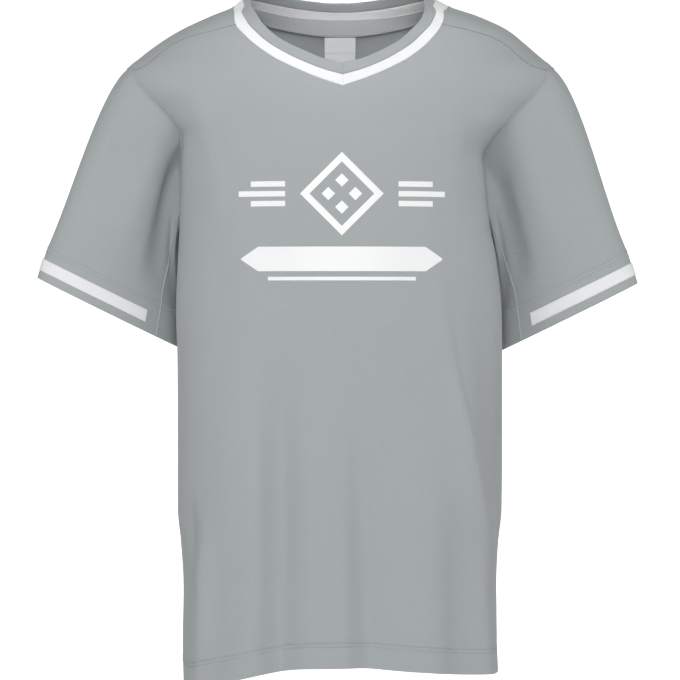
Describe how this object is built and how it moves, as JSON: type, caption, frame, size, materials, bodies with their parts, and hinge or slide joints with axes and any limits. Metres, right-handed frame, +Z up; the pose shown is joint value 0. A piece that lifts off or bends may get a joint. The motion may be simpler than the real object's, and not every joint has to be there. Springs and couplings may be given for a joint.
{
  "type": "short-sleeved V-neck baseball jersey",
  "caption": "Hollow short-sleeved pullover jersey with a V neck, set-in sleeves and striped cuffs, filled out as when worn.",
  "frame": {"origin": "in the middle of the neck, level with where the shoulder seams meet the collar, between front and back", "axes": "+Z up along the body, -Y out of the chest, +X to the right as the front is looked at"},
  "size_m": [0.5058, 0.2177, 0.5823],
  "materials": {
    "mesh_cloth": "silver grey fine polyester mesh, soft sheen",
    "grey_knit": "silver grey knit trim, matt",
    "white_knit": "white knit trim, matt",
    "label_cloth": "pale woven satin label, bare"
  },
  "bodies": {
    "root": {"front_panel": "mesh_cloth", "back_panel": "mesh_cloth", "sleeve_left": "mesh_cloth", "sleeve_right": "mesh_cloth", "underarm_panel_left": "mesh_cloth", "underarm_panel_right": "mesh_cloth", "cuff_left": "mesh_cloth", "cuff_right": "mesh_cloth", "cuff_stripe_left": "white_knit", "cuff_stripe_right": "white_knit", "collar_stripe": "white_knit", "collar_band": "grey_knit", "neck_tape": "grey_knit", "neck_label": "label_cloth"}
  },
  "joints": []
}
